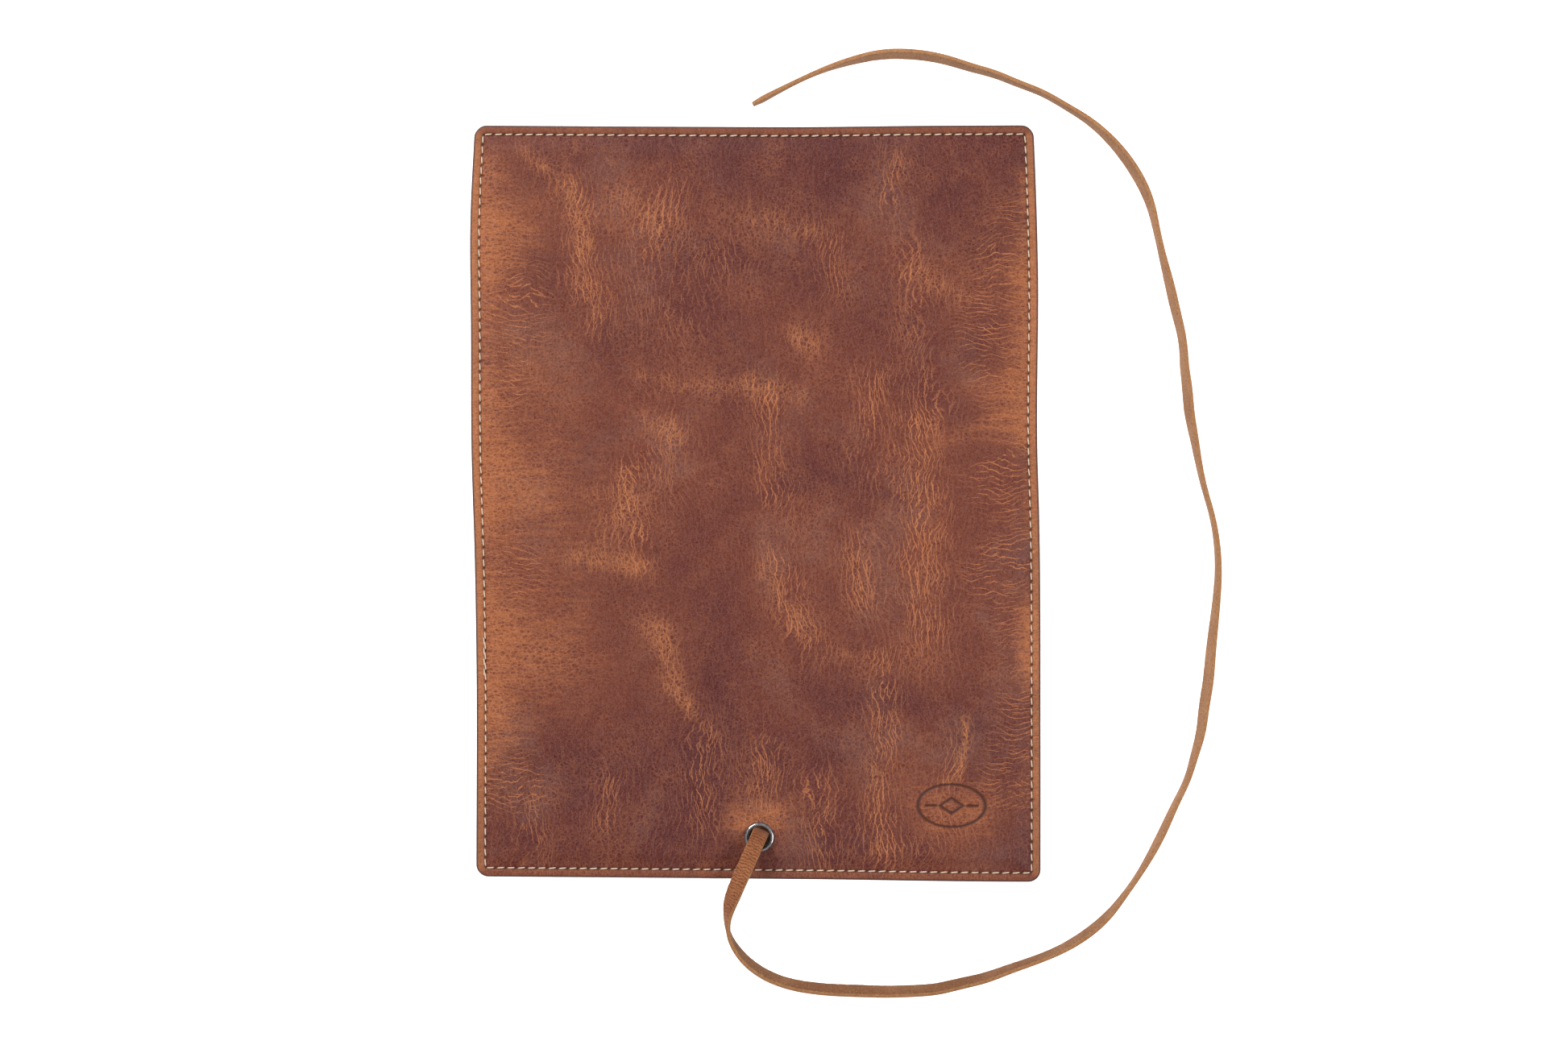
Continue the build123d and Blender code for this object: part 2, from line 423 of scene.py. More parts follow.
def outer_leather_material():
    """Brown pull-up leather: mottled, creased, rubbed tan in places, with a dark edge that is burnished and
    carries painted shade on its rounded cut, and painted shade in its stitch holes.
    """
    s = Shader("outer_leather", specular=0.2)
    point = s.flat()
    colour, crease, grain = hide_colour(s, point)
    # Painted shade in the stitch holes: dark brown at each hole.
    colour = s.mix(s.field("stitch_hole_shade"), colour, srgb(78, 42, 30))
    colour = s.mix(s.field("pressed"), colour, srgb(64, 32, 24))
    # The dark band on the rounded cut edge: burnishing, with painted shade of the edge.
    colour = s.mix(s.field("burnish_and_edge_shade"), colour, srgb(74, 52, 50))
    dulled = s.plus(s.noise(point, 0.12, 3.0), s.times(crease, 0.3))
    roughness = s.span(dulled, 0.3, 0.9, 0.42, 0.6)
    pebble = s.cells(s.shaken(point, 0.9, 0.6), 1.15)
    normal = s.bump(pebble, 0.12, 0.6)
    normal = s.bump(s.times(crease, -1.0), 0.12, 0.7, normal)
    normal = s.bump(grain, 0.14, 0.6, normal)
    return s.finish(colour, roughness, normal)


def sleeve_leather_material():
    """The plainer brown leather of the sleeves, smooth and waxed."""
    s = Shader("sleeve_leather", specular=0.25)
    point = s.flat()
    cloud = s.noise(point, 0.03, 4.0, 0.6)
    colour = s.mix(s.span(cloud, 0.3, 0.7), srgb(94, 54, 40), srgb(124, 74, 50))
    crease = s.times(most(s, cracks(s, point, 3.1, 1, 0.3), net(s, point, 2.2)), 0.4)
    # The grain adds a faint painted sheen of its glints to the sleeve's colour.
    colour = grained(s, s.mix(crease, colour, srgb(158, 98, 64)), s.noise(point, 1.3, 3.0, 0.7), 0.7, 0.05)
    # The sleeve's edges are darkened the same way: burnished, with painted shade.
    colour = s.mix(s.field("burnish_and_edge_shade"), colour, srgb(74, 50, 44))
    pebble = s.cells(s.shaken(point, 0.9, 0.6), 1.2)
    normal = s.bump(pebble, 0.09, 0.5)
    normal = s.bump(s.times(crease, -1.0), 0.14, 0.7, normal)
    return s.finish(colour, s.span(cloud, 0.3, 0.7, 0.48, 0.62), normal)


def twill_material():
    """The lining's cotton twill: slanting ribs of fine threads."""
    s = Shader("lining_twill", roughness=0.85, specular=0.15, Sheen_Weight=0.15)
    point = s.flat()
    slant = s.scaled(s.shaken(point, 0.3, 0.15), (1.0, 0.6, 0.0))
    rib = s.node("ShaderNodeTexWave", {"Vector": slant, "Scale": 0.42, "Distortion": 0.4, "Detail": 1.0},
                 bands_direction="DIAGONAL").outputs["Fac"]
    fleck = s.noise(point, 2.2, 3.0, 0.7)
    colour = s.mix(rib, srgb(84, 62, 47), srgb(126, 98, 74))
    colour = s.mix(s.span(fleck, 0.35, 0.75, 0.0, 0.35), colour, srgb(150, 122, 94))
    normal = s.bump(rib, 0.12, 0.7)
    return s.finish(colour, s.span(fleck, 0.3, 0.7, 0.78, 0.92), s.bump(fleck, 0.05, 0.6, normal))


def felt_material():
    """The interlining's needled felt."""
    s = Shader("interlining_felt", roughness=0.95, specular=0.1)
    point = s.flat()
    fibre = s.noise(s.shaken(point, 0.6, 2.0), 1.6, 5.0, 0.75)
    colour = s.mix(s.span(fibre, 0.3, 0.7), srgb(196, 190, 176), srgb(224, 219, 206))
    return s.finish(colour, s.span(fibre, 0.3, 0.7, 0.88, 0.98), s.bump(fibre, 0.2, 0.8))


def thread_material():
    """Cream polyester thread of three plies, a little soiled, with painted shade where it dives into the
    stitch holes.
    """
    s = Shader("thread", specular=0.3, Sheen_Weight=0.2)
    point = s.flat()
    fibre = s.noise(point, 4.0, 3.0, 0.7)
    colour = s.mix(s.span(fibre, 0.3, 0.7), shown(212, 190, 166), shown(240, 224, 202))
    soil = s.noise(point, 0.25, 2.0)
    colour = s.mix(s.span(soil, 0.45, 0.75, 0.0, 0.45), colour, srgb(205, 160, 118))
    # Painted shade: the thread turns dark brown where it sinks into its stitch holes.
    colour = s.mix(s.field("dive"), colour, srgb(120, 78, 54))
    return s.finish(colour, s.span(fibre, 0.3, 0.7, 0.6, 0.8), s.bump(fibre, 0.05, 0.5))


def strap_flesh(s, along, nap, patch):
    """The strap's flesh side: speckled like suede, and paler towards the tip, where hands tie it."""
    handled = s.span(along, 150.0, 250.0, 0.0, 0.75)
    pale = s.plus(handled, s.span(patch, 0.3, 0.7, -0.15, 0.25))
    flesh = s.mix(pale, shown(132, 90, 62), shown(182, 136, 102))
    flesh = s.mix(s.span(nap, 0.50, 0.66, 0.0, 0.8), flesh, shown(104, 66, 50))
    return s.mix(s.span(nap, 0.46, 0.30, 0.0, 0.7), flesh, shown(206, 160, 122))


def strap_grooves(s, point, along):
    """Broken wrinkles across the strap's grain side."""
    wander = s.times(s.noise(s.scaled(point, (0.4, 0.5, 0.3)), 1.0, 4.0, 0.65), 2.2)
    off = s.math("PINGPONG", s.plus(s.math("DIVIDE", along, 1.15), wander), 0.5)
    broken = s.span(s.noise(s.scaled(point, (0.9, 0.8, 0.3)), 1.0, 3.0, 0.65), 0.34, 0.50)
    return s.times(s.span(off, 0.03, 0.25, 1.0, 0.0), s.times(broken, s.field("grain_side")))


def strap_material():
    """The tie strap: red-brown, wrinkled on its grain side with painted shade in the wrinkles, suede-like on
    its flesh side, paler where cut.
    """
    s = Shader("strap_leather", specular=0.1, Sheen_Weight=0.05)
    point = s.flat()
    nap = s.noise(point, 1.5, 4.0, 0.8)
    patch = s.noise(point, 0.07, 3.0, 0.6)
    along = s.axes(s.shaken(point, 0.5, 0.9))["X"]
    groove = strap_grooves(s, point, along)
    grain_side = s.mix(s.span(patch, 0.3, 0.7), shown(158, 100, 70), shown(182, 120, 84))
    grain_side = s.mix(s.span(nap, 0.46, 0.70, 0.0, 0.7), grain_side, shown(112, 68, 52))
    colour = s.mix(s.field("grain_side"), strap_flesh(s, along, nap, patch), grain_side)
    # Painted shade in the wrinkles: their grooves are darkened.
    colour = s.mix(s.times(groove, 0.72), colour, shown(98, 57, 44))
    edge = s.mix(s.span(nap, 0.35, 0.65), shown(204, 156, 112), shown(160, 108, 74))
    colour = s.mix(s.times(s.field("cut"), 0.85), colour, edge)
    normal = s.bump(nap, 0.3, 0.8)
    normal = s.bump(s.times(groove, -1.0), 0.25, 0.8, normal)
    return s.finish(colour, s.span(nap, 0.3, 0.7, 0.7, 0.92), normal)


def metal_material():
    """Dark nickel plate with fine turning marks and a few rubbed spots."""
    s = Shader("dark_nickel", specular=0.5, Metallic=0.9)
    place_on = s.node("ShaderNodeTexCoord", {}).outputs["Object"]
    spot = s.noise(s.scaled(place_on, (1000, 1000, 1000)), 0.9, 3.0, 0.6)
    colour = s.mix(s.span(spot, 0.35, 0.7), srgb(122, 119, 122), srgb(156, 152, 155))
    scratch = s.noise(s.scaled(place_on, (1000, 1000, 9000)), 2.5, 2.0, 0.6)
    return s.finish(colour, s.span(spot, 0.3, 0.7, 0.10, 0.2), s.bump(scratch, 0.02, 0.35))


# ---- the flat pieces


COARSE_STEP = 14


def slab(name, columns, rows, fine, coarse, material, fine_is_top=True, bare=None):
    """A closed flat piece over a grid of columns and rows, with its points' places on the flat material.

    fine(x, y) is the height of its detailed face, and coarse(x, y) that of the other, which keeps one column
    in every COARSE_STEP. bare(x, y) says where a hole is."""
    x, y = np.meshgrid(columns, rows)
    px, py = place(x, y)
    ny, nx = x.shape
    keep = set(range(0, nx, COARSE_STEP)) | {nx - 1}
    removed = np.zeros((ny - 1, nx - 1), bool)
    if bare is not None:
        open_point = bare(px, py)
        removed = open_point[:-1, :-1] & open_point[1:, :-1] & open_point[:-1, 1:] & open_point[1:, 1:]
        hole_columns = np.nonzero(removed.any(axis=0))[0]
        keep |= set(range(hole_columns.min(), hole_columns.max() + 2))
    kept = sorted(keep)
    fine_points = np.stack([px, py, fine(x, y)], axis=-1).reshape(-1, 3)
    coarse_all = np.stack([px, py, coarse(x, y)], axis=-1)
    has_coarse = np.zeros((ny, nx), bool)
    has_coarse[:, kept] = True
    has_coarse[[0, -1], :] = True
    coarse_index = np.where(has_coarse, np.cumsum(has_coarse).reshape(ny, nx) - 1 + nx * ny, -1)
    points = np.concatenate([fine_points, coarse_all[has_coarse]])
    fine_index = np.arange(nx * ny).reshape(ny, nx)

    corners = [fine_index[:-1, :-1], fine_index[:-1, 1:], fine_index[1:, 1:], fine_index[1:, :-1]]
    faces = np.stack(corners, axis=-1)[~removed].tolist()
    for j in range(ny - 1):
        for a, b in zip(kept, kept[1:]):
            if removed[j, a]:
                continue
            low = coarse_index[j, a : b + 1] if j == 0 else coarse_index[j, [a, b]]
            high = coarse_index[j + 1, a : b + 1] if j == ny - 2 else coarse_index[j + 1, [a, b]]
            faces.append([*high.tolist(), *low[::-1].tolist()])
    edges = [((0, i), (0, i + 1)) for i in range(nx - 1)]
    edges += [((j, nx - 1), (j + 1, nx - 1)) for j in range(ny - 1)]
    edges += [((ny - 1, i + 1), (ny - 1, i)) for i in range(nx - 1)]
    edges += [((j + 1, 0), (j, 0)) for j in range(ny - 1)]
    for j, i in zip(*np.nonzero(removed)):
        edges += [] if removed[j - 1, i] else [((j, i + 1), (j, i))]
        edges += [] if removed[j + 1, i] else [((j + 1, i), (j + 1, i + 1))]
        edges += [] if removed[j, i - 1] else [((j, i), (j + 1, i))]
        edges += [] if removed[j, i + 1] else [((j + 1, i + 1), (j, i + 1))]
    for a, b in edges:
        faces.append([int(v) for v in (coarse_index[a], coarse_index[b], fine_index[b], fine_index[a])])
    if not fine_is_top:
        faces = [face[::-1] for face in faces]
    piece = new_object(name, points, faces, material)
    flat = np.stack([x, y, 0 * x], axis=-1).reshape(-1, 3)
    write_flat(piece, np.concatenate([flat, flat.reshape(ny, nx, 3)[has_coarse]]))
    return piece, np.concatenate([x.ravel(), x[has_coarse]]), np.concatenate([y.ravel(), y[has_coarse]])


# How far inside the cover's edge the first grid lines of the outer leather lie.
EDGE_STEPS = [0.0, 0.12, 0.3, 0.55, 0.9, 1.4, 2.0, 2.5, 2.9, 3.2, 3.5, 3.8, 4.1, 4.5, 5.0, 5.6, 6.3]


def lines_across(half, seam, pitch, parts, fine_band=None):
    """Grid lines from one edge to the other: close together at the edges and the seam, then the same number
    to each stitch, and twice as many in a band that needs them."""
    count = round(2 * seam / pitch) * parts
    regular = -seam + pitch / parts * np.arange(count + 1)
    inner = regular[half - np.abs(regular) > EDGE_STEPS[-1] + pitch / parts / 2]
    if fine_band is not None:
        middles = (inner[1:] + inner[:-1]) / 2
        wanted = middles[(middles > fine_band[0]) & (middles < fine_band[1])]
        inner = np.sort(np.concatenate([inner, wanted]))
    edge = np.array(EDGE_STEPS)
    return np.concatenate([-half + edge, inner, (half - edge)[::-1]])


def half_rows(lines, front):
    """The grid lines of one half of the cover, ending at its middle."""
    least_gap = 0.05
    if front:
        return np.append(lines[lines < -least_gap], 0.0)
    return np.insert(lines[lines > least_gap], 0, 0.0)


def seam_marks(x, y):
    """How near a point is to the seam line and to its nearest stitch hole, each from 0 to 1, then how far
    along the seam that hole is, in stitches, and how far inside the seam the point is."""
    off = inset_of(x, y) - SEAM_INSET
    on_side = (HALF_WIDTH - np.abs(x)) < (HALF_LENGTH - np.abs(y))
    turns = np.where(on_side, (y + SEAM_Y) / PITCH_Y, (x + SEAM_X) / PITCH_X)
    pitch = np.where(on_side, PITCH_Y, PITCH_X)
    along = np.abs(turns - np.round(turns)) * pitch
    return bell(off / 0.7), np.exp(-(off**2 + along**2) / 0.5**2), along / pitch, off


OVAL_HALF_WIDTH, OVAL_HALF_HEIGHT = 13.0, 8.2
LOZENGE_HALF_WIDTH, LOZENGE_HALF_HEIGHT = 4.4, 3.0
BAR_MIDDLE, BAR_HALF_LENGTH = 8.0, 2.0


def stamp_distance(x, y):
    """About how far a point is from the blind stamp's lines: an oval with a lozenge and two bars in it."""
    u, v = np.abs(x - STAMP_X), np.abs(y - STAMP_Y)
    oval = np.abs(np.hypot(u / OVAL_HALF_WIDTH, v / OVAL_HALF_HEIGHT) - 1) * 9.5
    lozenge = np.abs(u / LOZENGE_HALF_WIDTH + v / LOZENGE_HALF_HEIGHT - 1) * 2.4
    bar = np.hypot(np.maximum(np.abs(u - BAR_MIDDLE) - BAR_HALF_LENGTH, 0), v)
    return np.minimum(np.minimum(oval, lozenge), bar)


def leather_height(x, y):
    """The outer face: sewn rim, raised middle, dimples at the stitch holes, the eyelet's seat, the stamp."""
    inset = inset_of(x, y)
    seam, hole, phase, off = seam_marks(x, y)
    z = RIM_TOP + (LEATHER_TOP - RIM_TOP) * smooth((inset - SEAM_INSET) / 7.0)
    z = z + 0.12 * undulation(x, y) * smooth(inset / 12)
    z = z + 0.16 * smooth(inset / 1.4) * smooth((SEAM_INSET - inset) / 1.2)
    z = z - 0.22 * seam - 0.5 * hole
    z = z + 0.10 * (phase - 0.25) * 4 * bell((np.abs(off) - 1.2) / 0.8)
    z = z - 0.55 * (1 - smooth(inset / 0.75)) ** 2
    radius = np.hypot(x - EYELET_X, y - EYELET_Y)
    z = z + 0.3 * bell((radius - 9.5) / 3.2) - 0.22 * smooth((7.6 - radius) / 1.8)
    return z - 0.34 * smooth(1 - stamp_distance(x, y) / 0.75)


def leather_underside(x, y):
    """The outer leather's inner face: on the lining at the sewn rim, on the interlining inside it."""
    inset = inset_of(x, y)
    step = smooth((inset - INTERLINING_INSET + 2.4) / 2.0)
    return LINING_TOP + 0.02 + (INTERLINING_TOP - LINING_TOP + 0.02) * step


def stroke(x, y, ax, ay, bx, by, width, strength):
    """A soft mark drawn from one point to another."""
    square = max((bx - ax) ** 2 + (by - ay) ** 2, 1e-9)
    t = np.clip(((x - ax) * (bx - ax) + (y - ay) * (by - ay)) / square, 0, 1)
    away = (x - ax - t * (bx - ax)) ** 2 + (y - ay - t * (by - ay)) ** 2
    return strength * np.exp(-((away / width**2) ** 0.8))


def strokes(x, y, marks):
    """Several soft marks laid over each other, from 0 to 1, with wavy outlines."""
    x = x + 1.3 * np.sin(y / 7.1 + 2 * np.sin(x / 13)) + 0.7 * np.sin(y / 2.3 + x / 3.1)
    y = y + 1.3 * np.sin(x / 8.3 + 2 * np.sin(y / 11)) + 0.7 * np.sin(x / 2.7 - y / 3.7)
    left = np.ones_like(x)
    for mark in marks:
        left = left * (1 - stroke(x, y, *mark))
    return 1 - left


# Marks on the hide, in millimetres from the middle of the cover: (x and y of one end, x and y of the other,
# width, strength). The first three kinds change the colour, the last says where upright cracks show.
RUBBED = [
    (-92, 137, -72, 124, 4, 0.6), (-72, 124, -66, 100, 4, 0.8), (-66, 100, -61, 70, 4, 0.6),
    (-50, 116, -38, 112, 8, 0.45), (-84, 118, -30, 108, 8, 0.25), (0, 110, 22, 107, 7, 0.45),
    (16, 66, 20, 62, 5, 0.95), (-41, 48, 20, 43, 4, 0.5), (-4, 44, 8, 42, 5, 0.5),
    (-34, 29, -28, 24, 6, 0.75), (-49, 12, -48, -10, 4, 0.8), (-72, -21, -42, -26, 4, 0.85),
    (-60, -25, -46, -26, 3, 0.7), (-56, -6, -60, -18, 8, 0.4), (-40, -50, -27, -80, 4, 0.85),
    (-42, -48, -34, -60, 6, 0.45), (4, -24, 19, -52, 4, 0.6), (36, -20, 40, -36, 6, 0.45),
    (64, 26, 65, -46, 9, 0.4), (81, -82, 75, -108, 2.2, 0.9), (57, 91, 78, 79, 5, 0.6),
    (28, -60, 70, -64, 7, 0.3), (-2, -104, 2, -118, 7, 0.4), (44, -84, 48, -134, 5, 0.35),
    (-90, 60, -76, 40, 9, 0.35), (40, 52, 44, 30, 5, 0.35), (-66, 2, -40, 6, 9, 0.3),
]
GLOWING = [
    (-108, 124, -105, 96, 13, 0.8), (-106, 96, -106, 66, 10, 0.5), (-108, 34, -107, -6, 13, 1.0),
    (-108, -40, -105, -82, 14, 0.9), (-98, 108, -86, 104, 10, 0.45), (-98, 14, -86, 4, 11, 0.45),
    (-98, -56, -84, -60, 13, 0.5), (107, 122, 106, 92, 7, 0.6), (107, 88, 106, 66, 7, 0.8),
    (107, 62, 104, 30, 9, 0.8), (92, 30, 72, 22, 6, 0.45), (107, -42, 105, -66, 6, 0.9),
    (107, 12, 107, -12, 4, 0.5), (84, 48, 98, 42, 6, 0.4), (68, -122, 84, -122, 9, 0.5),
    (62, -112, 86, -114, 9, 0.3), (-6, -124, 6, -121, 8, 0.75), (-104, -96, -106, -110, 7, 0.4),
    (-80, 46, -72, -62, 22, 0.3), (-56, -26, -46, -25, 5, 0.3), (-106, 54, -106, 44, 6, 0.4),
]
DARKENED = [
    (-70, 141, 104, 138, 12, 0.75), (0, 124, 96, 122, 16, 0.6), (-30, 96, 14, 92, 10, 0.5),
    (-88, 92, -76, 78, 10, 0.35), (-14, 74, -2, 52, 12, 0.45), (70, 104, 88, 96, 9, 0.45),
    (20, 12, 42, 4, 11, 0.45), (88, -92, 104, -136, 14, 0.85), (-104, -134, 60, -136, 12, 0.6),
    (-96, -104, -20, -104, 17, 0.8), (-14, -84, -16, -94, 9, 0.7), (8, -96, 34, -100, 13, 0.8),
    (-70, -122, 50, -122, 12, 0.5), (-85, -76, -106, -82, 2.2, 0.9), (-20, -36, -14, -70, 12, 0.35),
    (22, -72, 90, -84, 11, 0.45), (-60, 60, -30, 68, 12, 0.25), (84, 60, 92, 72, 8, 0.4),
    (30, 86, 60, 66, 10, 0.3), (-80, 30, -66, 22, 9, 0.3),
]
UPRIGHT = [
    (64, 34, 65, -48, 8, 1.0), (60, 100, 62, 40, 7, 0.5), (49, -60, 47, -138, 5, 0.95),
    (-62, 84, -30, 72, 14, 0.35), (-68, 122, -61, 66, 5, 0.45), (4, 42, 6, 6, 6, 0.75),
    (14, 4, 16, -8, 5, 0.6), (46, 48, 44, 30, 5, 0.8), (30, 100, 32, 84, 6, 0.7), (-20, 96, -6, 92, 9, 0.4),
    (54, 132, 52, 118, 6, 0.7), (6, -22, 20, -54, 7, 0.7), (38, -16, 42, -36, 7, 0.7),
    (-20, -88, -22, -124, 6, 0.7), (2, -96, 4, -124, 6, 0.6), (-58, -108, -60, -124, 4, 0.7),
    (22, -112, 26, -136, 7, 0.7), (-40, 30, -34, 12, 8, 0.5), (75, -90, 72, -120, 5, 0.5),
    (-49, 14, -48, -14, 6, 0.6), (-88, -118, -86, -136, 6, 0.5), (40, 20, 50, 10, 9, 0.4),
    (-30, 120, -40, 100, 9, 0.5), (84, -124, 60, -134, 6, 0.4),
]


def paint_hide(piece, x, y):
    """Writes the fields that the outer leather's material reads."""
    inset = inset_of(x, y)
    hole = seam_marks(x, y)[1]
    from_side = HALF_WIDTH - np.abs(x)
    swing = np.sin(y / 9 + 2 * np.sin(y / 23)) * 7
    on_side = smooth((HALF_LENGTH - np.abs(y) - from_side) / 6 + 0.5)
    lower_part = smooth((-75 - y) / 30)
    fields = {
        "rub": strokes(x, y, RUBBED),
        "glow": strokes(x, y, GLOWING),
        "dark": strokes(x, y, DARKENED),
        "upright": np.clip(0.14 + 0.08 * lower_part + strokes(x, y, UPRIGHT), 0, 1),
        "level": smooth((34 + swing - from_side) / 22) * smooth((128 - np.abs(y)) / 16),
        "rim": smooth((SEAM_INSET - 0.2 - inset) / 0.5),
        "pale_rim": np.maximum(on_side, np.where(y > 0, 0.25, 0.1)),
        # painted shade in the stitch holes
        "stitch_hole_shade": np.clip(hole * 1.3, 0, 1),
        "pressed": 0.95 * smooth(1.15 - stamp_distance(x, y) / 0.8),
        # a dark band on the cut edge: burnished, with painted shade of the rounded edge
        "burnish_and_edge_shade": smooth((0.75 - inset) / 0.35),
    }
    for name, values in fields.items():
        write_field(piece, name, values)


def outer_leather():
    """The outer skin in two halves that meet in the middle of the spine."""
    material = outer_leather_material()
    stamp_columns = (STAMP_X - STAMP_HALF_WIDTH, STAMP_X + STAMP_HALF_WIDTH)
    stamp_rows = (STAMP_Y - STAMP_HALF_HEIGHT, STAMP_Y + STAMP_HALF_HEIGHT)
    for name, front in HALVES:
        columns = lines_across(HALF_WIDTH, SEAM_X, PITCH_X, 5, stamp_columns if front else None)
        rows = half_rows(lines_across(HALF_LENGTH, SEAM_Y, PITCH_Y, 6, stamp_rows if front else None), front)
        piece, x, y = slab(f"{name}_leather", columns, rows, leather_height, leather_underside, material,
                           bare=near_eyelet(-0.5) if front else None)
        paint_hide(piece, x, y)
        bend_with(piece, front)
        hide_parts(f"{name}_outer_leather", "spine_outer_leather")


def bend_with(piece, front):
    """Bakes a piece's place into its points, the same for either half."""
    if front:
        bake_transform(piece)
    else:
        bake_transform(piece)


def plain_lines(half, step, inset=0.0):
    """Grid lines for a piece with little detail: a few close ones at the edges and even ones between."""
    edge = inset + np.array([0.0, 0.15, 0.5, 1.2, 2.2, 3.0, 3.5, 4.0, 5.0])
    inner_half = half - edge[-1]
    inner = np.linspace(-inner_half, inner_half, round(2 * inner_half / step) + 1)[1:-1]
    return np.concatenate([-half + edge, inner, (half - edge)[::-1]])


def lining_underside(x, y):
    """The lining's inner face: flat under the sleeves, sagging and drawn in at the seam between them."""
    inset = inset_of(x, y)
    seam = bell((inset - SEAM_INSET) / 0.8)
    bare = smooth((SLEEVE_MOUTH - 2 - np.abs(y)) / 4)
    sag = 0.35 * (undulation(1.3 * x, 1.1 * y + 40) - 1) / 2 * smooth((inset - 6) / 10)
    return LINING_LOW + 0.03 + bare * (sag + 0.25 * seam) + 0.25 * (1 - smooth(inset / 0.6)) ** 2


def lining():
    """The lining's two halves, sagging a little between the sleeves."""
    material = twill_material()
    upper = level_at(LINING_TOP - 0.02)
    for name, front in HALVES:
        columns = plain_lines(HALF_WIDTH, 1.6, 0.25)
        rows = half_rows(plain_lines(HALF_LENGTH, 1.6, 0.25), front)
        piece, _, _ = slab(f"{name}_twill", columns, rows, lining_underside, upper, material, False)
        bend_with(piece, front)
        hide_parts(f"{name}_lining", "spine_lining")


def interlining():
    """The felt between leather and lining, thinned towards its edge."""
    material = felt_material()
    half_width, half_length = HALF_WIDTH - INTERLINING_INSET, HALF_LENGTH - INTERLINING_INSET

    def top(x, y):
        inset = inset_of(x, y) - INTERLINING_INSET
        return INTERLINING_TOP - 0.06 - 0.5 * (1 - smooth(inset / 2.5))

    lower = level_at(LINING_TOP + 0.04)
    for name, front in HALVES:
        columns = np.linspace(-half_width, half_width, 138)
        rows = half_rows(np.linspace(-half_length, half_length, 182), front)
        piece, _, _ = slab(f"{name}_felt", columns, rows, top, lower, material,
                           bare=near_eyelet(2.2) if front else None)
        bend_with(piece, front)
        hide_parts(f"{name}_interlining", "spine_interlining")


def sleeves():
    """The two sleeves: flat leather with a creased line along the mouth and the seam on the other sides."""
    material = sleeve_leather_material()

    def underside(x, y):
        inset = inset_of(x, y)
        seam = bell((inset - SEAM_INSET) / 0.8)
        crease = bell((np.abs(y) - SLEEVE_MOUTH - 3) / 0.5)
        edge = (1 - smooth(np.minimum(inset, np.abs(y) - SLEEVE_MOUTH) / 0.6)) ** 2
        uneven = 0.06 * (1 + undulation(1.7 * x + 9, 1.7 * y))
        return 0.02 + 0.3 * seam + 0.25 * crease + 0.3 * edge + uneven * smooth(inset / 8)

    upper = level_at(SLEEVE_TOP - 0.01)
    near_mouth = SLEEVE_MOUTH + np.array([0.0, 0.2, 0.5, 1.0, 2.4, 2.7, 3.0, 3.3, 3.6])
    for name, front in HALVES:
        columns = plain_lines(HALF_WIDTH, 1.4, 0.12)
        lines = plain_lines(HALF_LENGTH, 1.4, 0.12)
        sign = -1 if front else 1
        rows = np.concatenate([lines[sign * lines > SLEEVE_MOUTH + 1.6], sign * near_mouth])
        rows = np.unique(np.round(rows, 4))
        piece, x, y = slab(f"{name}_pocket", columns, rows, underside, upper, material, False)
        edge = np.minimum(inset_of(x, y), np.abs(y) - SLEEVE_MOUTH)
        # Its edges darkened: burnished, with painted shade of the edge.
        write_field(piece, "burnish_and_edge_shade", smooth((0.5 - edge) / 0.3))
        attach(piece, name)
        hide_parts(f"{name}_sleeve")


# ---- stitches


def seam_stitches():
    """Each stitch as (start, end), clockwise round the cover from its top left corner."""
    corners = [(-SEAM_X, SEAM_Y), (SEAM_X, SEAM_Y), (SEAM_X, -SEAM_Y), (-SEAM_X, -SEAM_Y)]
    stitches = []
    for k, count in enumerate((ACROSS_STITCHES, ALONG_STITCHES, ACROSS_STITCHES, ALONG_STITCHES)):
        a, b = np.array(corners[k]), np.array(corners[(k + 1) % 4])
        for i in range(count):
            stitches.append((a + (b - a) * i / count, a + (b - a) * (i + 1) / count))
    return stitches


def back_tack():
    """Where the seam's start and end overlap, a few stitches lie beside the others."""
    first, count = 18, 4
    x = -SEAM_X - 0.45
    doubled = []
    for i in range(first, first + count):
        y = -SEAM_Y + (i + 0.45) * PITCH_Y
        doubled.append((np.array([x, y]), np.array([x, y + PITCH_Y])))
    return doubled


STITCH_RINGS, STITCH_SIDES = 15, 12


def stitch_mesh(start, end, height, up, seed):
    """One stitch: three twisted plies that rise out of one hole and dive into the next, slightly slanted."""
    generator = np.random.default_rng(seed)
    slant = 0.17 + generator.normal(0, 0.04)
    t = np.linspace(0.12, 0.88, STITCH_RINGS)  # its ends stay clear of the next stitches in the shared holes
    along = (end - start) / np.linalg.norm(end - start)
    beside = np.array([-along[1], along[0]])
    x, y = (start[:, None] + (end - start)[:, None] * t + beside[:, None] * slant * 2 * (t - 0.5))
    px, py = place(x, y)
    level = height(start, end) + up * (0.15 - 0.75 * np.abs(2 * t - 1) ** 4)
    turn = 2 * math.pi * t * 1.6 + generator.uniform(0, 6)
    points, dive = [], []
    a = np.linspace(0, 2 * math.pi, STITCH_SIDES, endpoint=False)
    for k in range(STITCH_RINGS):
        radius = THREAD * (0.32 - 0.14 * (2 * t[k] - 1) ** 4) * (1 + 0.13 * np.cos(3 * a - 3 * turn[k]))
        out = radius * np.cos(a)
        ring = [px[k] + beside[0] * out, py[k] + beside[1] * out, level[k] + radius * np.sin(a)]
        points.append(np.stack(ring, -1))
        # How far each ring lies in the stitch's dive into its hole, where the thread's material paints shade.
        dive.append(np.full(STITCH_SIDES, smooth((abs(2 * t[k] - 1) - 0.45) / 0.3)))
    return np.concatenate(points), np.concatenate(dive)


